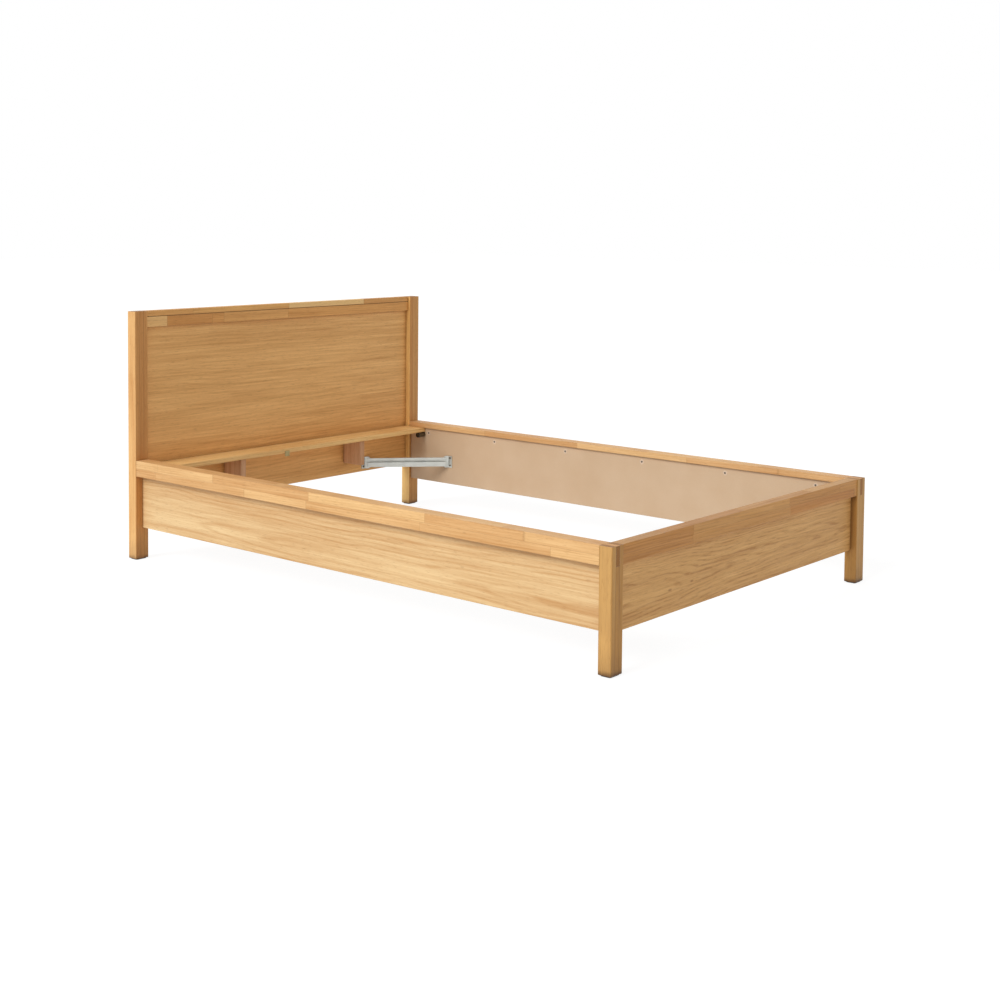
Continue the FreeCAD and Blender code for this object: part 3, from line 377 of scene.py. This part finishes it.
def darken_towards_floor(graph, colour, place):
    """Darker towards the floor, up to a ragged edge."""
    height = graph.plus(place[2], graph.times(graph.even_noise(place, 60.0, detail=3.0), FOOT_RAGGED_EDGE))
    for start, full, share in (FOOT_HIGH_FADE, FOOT_LOW_FADE):
        colour = graph.overlay(colour, FOOT_DARK, graph.step(height, start, full), share)
    return colour


def middleward(graph, place, normal, axis):
    """1 on the faces turned towards the bed's middle along an axis, and -1 on those turned away."""
    index = AXES[axis][0]
    return graph.times(graph.times(graph.math("SIGN", place[index]), normal[index]), -1.0)


def backing(graph, place, axis):
    """The plain beige back of a panel, with chipped rings round the screws where it faces along X."""
    fleck = graph.even_noise(place, 420.0, detail=4.0, rough=0.6)
    mottle = graph.even_noise(place, 7.0, detail=3.0)
    board = graph.mix(graph.spread(fleck), BEIGE, BEIGE_FLECK)
    board = graph.overlay(board, BEIGE_MOTTLE, graph.spread(mottle), MOTTLE_SHARE)
    if axis == "X":
        turn = graph.over(graph.minus(place[1], SCREW_START), SCREW_PITCH)
        off = graph.times(graph.minus(turn, graph.math("ROUND", turn)), SCREW_PITCH)
        ring = graph.radius(off, graph.minus(place[2], SCREW_LEVEL))
        ragged = graph.times(graph.minus(graph.even_noise(place, 160.0), 0.5), CHIP_RAGGED)
        board = graph.overlay(board, BEIGE_CHIP, graph.step(graph.plus(ring, ragged), *CHIP_RING), CHIP_SHARE)
    return board


def oak(name, axis, pale, deep, seed, bend=0.03, period=0.009, heart=0.2, slope=0.02, line_share=0.3,
        dashes=0.5, glued=None, cuts=None, layered=False, spread=0.22, joints=0.2, footside=None, upward=None,
        inner=None, beige=None, knots=(), feet=False, shade=(0.010, 0.62)):
    """Oiled oak with its grain along one axis, between a pale and a deep display colour.

    The figure: seed gives each wood its own, bend is how far the growth lines wander, period how far apart
    they are, heart the place across the grain where they turn back, slope how far they lean, line_share how
    strong they are and dashes how broken.
    Glued pieces: glued is the length, height and start of short staves in rows, cuts the first tone and then
    the places and tones of the staves in one row, and layered the three plies of a post. spread is how far
    their tones differ, and joints how dark the glue is.
    Painted light and shade by facing: footside is what the faces towards the foot are multiplied by to paint
    their shade, upward the same to paint light on the faces on top, and inner an axis and the same for the
    faces towards the bed's middle along it.
    beige is the axis along which the inner face is a plain backing, knots the x, z and size of small knots,
    feet whether the wood is darker towards the floor, and shade the reach of the shade painted into corners
    in metres and how much of the colour is left in it.
    """
    graph = material_graph(name)
    place, normal = graph.place()
    along, across, third = (place[index] for index in AXES[axis])
    own = joint = None
    if glued:
        own, joint = staves(graph, place, along, *glued, seed)
    if cuts:
        own, joint = cut_staves(graph, place, *cuts)
    if layered:
        own, joint = plies(graph, place, seed)
    if own is not None:
        along, across = (graph.plus(part, graph.times(own, offset))
                         for part, offset in zip((along, across), OWN_FIGURE))
    grain = Grain(graph, along, across, third, seed, bend, period, heart, slope, dashes)
    colour = graph.mix(grain.depth(graph, line_share), srgb(*pale), srgb(*deep))
    if own is not None:
        colour = graph.overlay(colour, PALE_STAVE, graph.step(own, 0.5, 1.0), spread)
        colour = graph.overlay(colour, DEEP_STAVE, graph.step(own, 0.5, 0.0), spread)
    colour = graph.overlay(colour, PORE, grain.pores, PORE_SHARE)
    colour = add_knots(graph, colour, place, knots)
    if joint is not None:
        colour = graph.overlay(colour, GLUE_LINE, joint, joints)
    end_grain = graph.mix(graph.spread(graph.even_noise(place, 700.0)), END_GRAIN_DARK, END_GRAIN_PALE)
    colour = graph.mix(graph.step(graph.absolute(normal[AXES[axis][0]]), *END_FACE), colour, end_grain)
    # Painted shade on the faces towards the foot.
    if footside:
        colour = graph.tint(colour, footside, graph.step(graph.times(normal[1], -1.0), *PLAIN_FACE))
    # Painted light on the faces on top.
    if upward:
        colour = graph.tint(colour, upward, graph.step(normal[2], *PLAIN_FACE))
    # Tint on the faces towards the bed's middle: painted light on the head posts, painted shade on the foot
    # posts.
    if inner:
        facing, tint = inner
        colour = graph.tint(colour, tint, graph.step(middleward(graph, place, normal, facing), *INNER_FACE))
    # Darker towards the floor.
    if feet:
        colour = darken_towards_floor(graph, colour, place)
    soft, edge = graph.soft_edge(OAK_EDGE)
    colour = graph.overlay(colour, WORN_EDGE, edge, EDGE_SHARE)
    if beige:
        mask = graph.step(middleward(graph, place, normal, beige), *BACKING_FACE)
        colour = graph.mix(mask, colour, backing(graph, place, beige))
    # Painted shade where surfaces meet.
    colour = graph.paint_corner_shade(colour, *shade)
    height = graph.minus(graph.times(grain.fibre, 0.5), grain.pores)
    if joint is not None:
        height = graph.minus(height, joint)
    return graph.finish(colour, graph.spread(grain.fibre, 0.44, 0.6),
                        graph.bump(height, strength=0.22, distance=0.0006, normal=soft), specular=0.35)


def raw_wood(name):
    """Sawn, unfinished pinkish wood with its grain upright."""
    graph = material_graph(name)
    (x, y, z), _ = graph.place()
    grain = Grain(graph, z, x, y, seed=4.0, bend=0.02, period=0.009, heart=0.3, slope=0.0, dashes=0.5)
    colour = graph.mix(grain.depth(graph, line_share=0.35), RAW_PALE, RAW_DEEP)
    colour = graph.overlay(colour, RAW_PORE, grain.pores, 0.25)
    soft, edge = graph.soft_edge(radius=0.0015)
    colour = graph.overlay(colour, RAW_EDGE, edge, 0.3)
    # Painted shade in the corners.
    colour = graph.paint_corner_shade(colour, distance=0.012, darkest=0.6)
    return graph.finish(colour, graph.spread(grain.fibre, 0.75, 0.9),
                        graph.bump(grain.fibre, strength=0.4, distance=0.0008, normal=soft), specular=0.2)


def metal(name, pale, deep, rough, metallic):
    """Plated steel with a fine sheen and small level scratches."""
    graph = material_graph(name)
    place, _ = graph.place()
    pale, deep = srgb(*pale), srgb(*deep)
    cloud = graph.even_noise(place, 30.0)
    scratch = graph.noise(place, (60.0, 60.0, 1800.0))
    soft, edge = graph.soft_edge(radius=0.0006)
    colour = graph.mix(graph.span(cloud, 0.25, 0.75), pale, deep)
    colour = graph.overlay(colour, deep, graph.step(scratch, 0.6, 0.72), 0.1)
    colour = graph.overlay(colour, pale, edge, 0.4)
    # Painted shade in the corners.
    colour = graph.paint_corner_shade(colour, distance=0.008, darkest=0.45)
    return graph.finish(colour, graph.spread(cloud, rough, rough + 0.15),
                        graph.bump(scratch, strength=0.1, distance=0.0003, normal=soft), metallic=metallic)


def plastic(name, pale, deep, end=None):
    """Dark moulded plastic with a fine texture. end is the display colour of the faces square to X."""
    graph = material_graph(name)
    place, normal = graph.place()
    pale, deep = srgb(*pale), srgb(*deep)
    skin = graph.even_noise(place, 1500.0, detail=3.0)
    worn = graph.even_noise(place, 90.0, detail=3.0)
    colour = graph.mix(graph.span(worn, 0.35, 0.65), pale, deep)
    if end:
        colour = graph.mix(graph.step(graph.absolute(normal[0]), *CAP_FACE), colour, srgb(*end))
    soft, edge = graph.soft_edge(radius=0.0008)
    colour = graph.overlay(colour, pale, edge, 0.3)
    return graph.finish(colour, graph.spread(skin, 0.4, 0.6),
                        graph.bump(skin, strength=0.2, distance=0.0003, normal=soft))


# The staves in the edge rails: length, height, and the height where the first row starts, in metres.
RAIL_STAVES = (0.44, STAVE_HEIGHT, RAIL_LOW.z)
FOOT_STAVES = (0.50, STAVE_HEIGHT, RAIL_LOW.z)

# The headboard's two strips from left to right: the first stave's tone, then each next one's start and tone.
CAP_STAVES = (0.25, ((-0.484, 0.55), (0.005, 1.0), (0.432, 0.2)))
BAND_STAVES = (0.95, ((-0.607, 0.05), (-0.39, 0.2), (-0.333, 0.64), (0.0, 0.42)))

FOOT_PANEL_KNOTS = ((-0.434, 0.185, 0.006), (-0.315, 0.191, 0.005))

OAKS = {
    # The head posts' footside tint paints shade on their faces towards the foot, and their inner tint paints
    # light on the faces towards the bed's middle.
    "head_post": dict(
        axis="Z", pale=(246, 198, 131), deep=(208, 149, 86), seed=1.3, bend=0.02, period=0.008, heart=0.1,
        layered=True, spread=0.2, joints=0.45, footside=(0.8, 0.68, 0.55), inner=("X", (1.12, 1.26, 1.22)),
        feet=True),
    # The foot posts are the head posts' wood in deeper colours, with darker inner faces and wider corner
    # shade, painting the shade at the foot end.
    "foot_post": dict(
        axis="Z", pale=(203, 151, 79), deep=(168, 116, 54), seed=4.9, bend=0.02, period=0.008, heart=0.1,
        layered=True, spread=0.2, joints=0.55, inner=("X", (0.86, 0.8, 0.68)), feet=True, shade=(0.03, 0.35)),
    # The side rails' upward tint paints light on their tops, and their inner tint makes the faces towards the
    # bed's middle darker.
    "side_rail": dict(
        axis="Y", pale=(241, 197, 138), deep=(200, 145, 85), seed=2.1, period=0.008, heart=0.25, slope=0.03,
        glued=RAIL_STAVES, spread=0.18, upward=(1.1, 1.07, 1.04), inner=("X", (0.92, 0.92, 0.96))),
    # The foot rail's deeper, warmer colours and footside tint paint the shade on the foot end.
    "foot_rail": dict(
        axis="X", pale=(214, 159, 92), deep=(168, 114, 58), seed=5.2, bend=0.04, heart=0.25, slope=0.03,
        line_share=0.4, glued=FOOT_STAVES, spread=0.28, footside=(1.0, 0.92, 0.76)),
    "headboard_cap": dict(
        axis="X", pale=(246, 190, 115), deep=(198, 138, 71), seed=8.4, period=0.008, heart=0.8,
        cuts=CAP_STAVES, spread=0.6),
    "headboard_rail": dict(
        axis="X", pale=(244, 183, 107), deep=(190, 127, 62), seed=9.6, period=0.008, heart=0.8,
        cuts=BAND_STAVES, spread=0.45),
    "side_veneer": dict(
        axis="Y", pale=(237, 204, 152), deep=(203, 155, 100), seed=3.4, bend=0.09, period=0.017, heart=0.17,
        line_share=0.42, dashes=0.35, beige="X"),
    # The foot panel's deeper, warmer colours paint the shade on the foot end.
    "foot_panel": dict(
        axis="X", pale=(238, 188, 119), deep=(190, 136, 74), seed=6.6, bend=0.12, period=0.010, slope=0.045,
        line_share=0.7, dashes=0.85, beige="Y", knots=FOOT_PANEL_KNOTS),
    # The headboard panel's wider corner shade paints the shade under the top band, beside the posts and under
    # the shelf.
    "headboard_panel": dict(
        axis="X", pale=(251, 198, 127), deep=(208, 150, 84), seed=7.7, bend=0.07, period=0.014, heart=0.57,
        slope=0.015, line_share=0.25, dashes=0.4, shade=(0.032, 0.5)),
    "shelf_oak": dict(axis="X", pale=(255, 213, 144), deep=(220, 165, 97), seed=10.5, heart=0.3),
    "dowel_wood": dict(axis="Z", pale=(240, 206, 158), deep=(214, 172, 118), seed=12.5),
}
METALS = {
    "brace_steel": dict(pale=(214, 217, 211), deep=(200, 203, 198), rough=0.36, metallic=0.75),
    # The screws' dark tone paints the shade in their recessed heads.
    "screw_steel": dict(pale=(120, 112, 100), deep=(84, 76, 66), rough=0.4, metallic=0.6),
    "bolt_steel": dict(pale=(200, 200, 200), deep=(150, 150, 150), rough=0.3, metallic=0.8),
    "support_screw": dict(pale=(110, 98, 70), deep=(70, 60, 42), rough=0.4, metallic=0.5),
    "clip_metal": dict(pale=(196, 180, 130), deep=(166, 148, 100), rough=0.5, metallic=0.4),
}
PLASTICS = {
    "support_plastic": dict(pale=(96, 76, 44), deep=(58, 44, 26), end=(20, 16, 12)),
    "glide_plastic": dict(pale=(66, 54, 42), deep=(36, 28, 22)),
}
MATERIALS = {name: oak(name, **look) for name, look in OAKS.items()}
MATERIALS["raw_wood"] = raw_wood("raw_wood")
MATERIALS.update({name: metal(name, **look) for name, look in METALS.items()})
MATERIALS.update({name: plastic(name, **look) for name, look in PLASTICS.items()})

# A piece takes the material with its own name, left and right alike, or else its slot's.
SLOTS = {entry["node"]: entry["material_slot"] for entry in frame["record"]["subparts"]}
for name, thing in NODES.items():
    kind = name.removesuffix("_left").removesuffix("_right")
    thing.data.materials.clear()
    thing.data.materials.append(MATERIALS[kind if kind in MATERIALS else SLOTS[name]])


def make_floor(size, drop, bounce, seen, glow):
    """A pale floor just under the bed that keeps its shadow.

    bounce is how much light it throws back on the bed. To the camera it has the tone seen and a glow of its
    own, so that it stays near white.
    """
    bpy.ops.mesh.primitive_plane_add(size=size, location=(0, 0, -drop))
    floor = bpy.context.object
    floor.name = "floor"
    graph = material_graph("floor")
    matte = graph.add("ShaderNodeBsdfDiffuse", {"Color": grey(bounce)})
    soft = graph.add("ShaderNodeBsdfDiffuse", {"Color": grey(seen)})
    light = graph.add("ShaderNodeEmission", {"Strength": glow})
    both = graph.add("ShaderNodeAddShader", {0: soft.outputs[0], 1: light.outputs[0]})
    path = graph.add("ShaderNodeLightPath")
    looked = graph.math("MAXIMUM", path.outputs["Is Camera Ray"], path.outputs["Is Glossy Ray"])
    choice = graph.add("ShaderNodeMixShader", {0: looked, 1: matte.outputs[0], 2: both.outputs[0]})
    graph.feed(graph.output.inputs[0], choice.outputs[0])
    floor.data.materials.append(graph.owner)


def make_world(level):
    """Even light at a plain level, seen as white."""
    world = bpy.data.worlds.new("studio")
    bpy.context.scene.world = world
    graph = Graph(world, "ShaderNodeOutputWorld")
    path = graph.add("ShaderNodeLightPath")
    looked = graph.math("MAXIMUM", path.outputs["Is Camera Ray"], path.outputs["Is Glossy Ray"])
    looked = graph.math("MAXIMUM", looked, path.outputs["Is Transmission Ray"])
    strength = graph.span(looked, 0.0, 1.0, level, 1.0)
    sky = graph.add("ShaderNodeBackground", {"Color": grey(1.0), "Strength": strength})
    graph.feed(graph.output.inputs[0], sky.outputs[0])


def make_key(direction, strength, softness):
    """One soft lamp, from the direction given."""
    lamp = bpy.data.lights.new("key", "SUN")
    lamp.energy = strength
    lamp.angle = softness
    key = bpy.data.objects.new("key", lamp)
    bpy.context.scene.collection.objects.link(key)
    x, y, z = direction
    key.rotation_euler = (math.atan2(math.hypot(x, y), z), 0, math.atan2(y, x) + math.pi / 2)


def make_camera(place, yaw, pitch, roll, lens, sensor, shift):
    """A camera at a place in metres, with its angles in radians, its lens in millimetres and its shift."""
    forward = (math.sin(yaw) * math.cos(pitch), math.cos(yaw) * math.cos(pitch), -math.sin(pitch))
    level = (math.cos(yaw), -math.sin(yaw), 0.0)
    rise = (level[1] * forward[2] - level[2] * forward[1], level[2] * forward[0] - level[0] * forward[2],
            level[0] * forward[1] - level[1] * forward[0])
    right = [math.cos(roll) * a + math.sin(roll) * b for a, b in zip(level, rise)]
    up = [math.cos(roll) * b - math.sin(roll) * a for a, b in zip(level, rise)]
    data = bpy.data.cameras.new("camera")
    data.lens = lens
    data.sensor_width = sensor
    data.shift_x, data.shift_y = shift
    camera = bpy.data.objects.new("camera", data)
    bpy.context.scene.collection.objects.link(camera)
    rows = [[right[i], up[i], -forward[i], place[i]] for i in range(3)] + [[0, 0, 0, 1]]
    camera.matrix_world = Matrix(rows)
    bpy.context.scene.camera = camera


make_floor(size=60, drop=0.0005, bounce=0.8, seen=0.22, glow=0.87)
make_world(level=0.56)
make_key(direction=(-0.55, 0.07, 0.40), strength=1.80, softness=0.5)
# The photograph's viewpoint.
make_camera(place=(-4.18266, -3.50253, 1.29008), yaw=0.85952, pitch=0.05801, roll=0.00764, lens=55.10,
            sensor=36.0, shift=(0.0323, -0.2))
bpy.context.scene.view_settings.view_transform = "Standard"
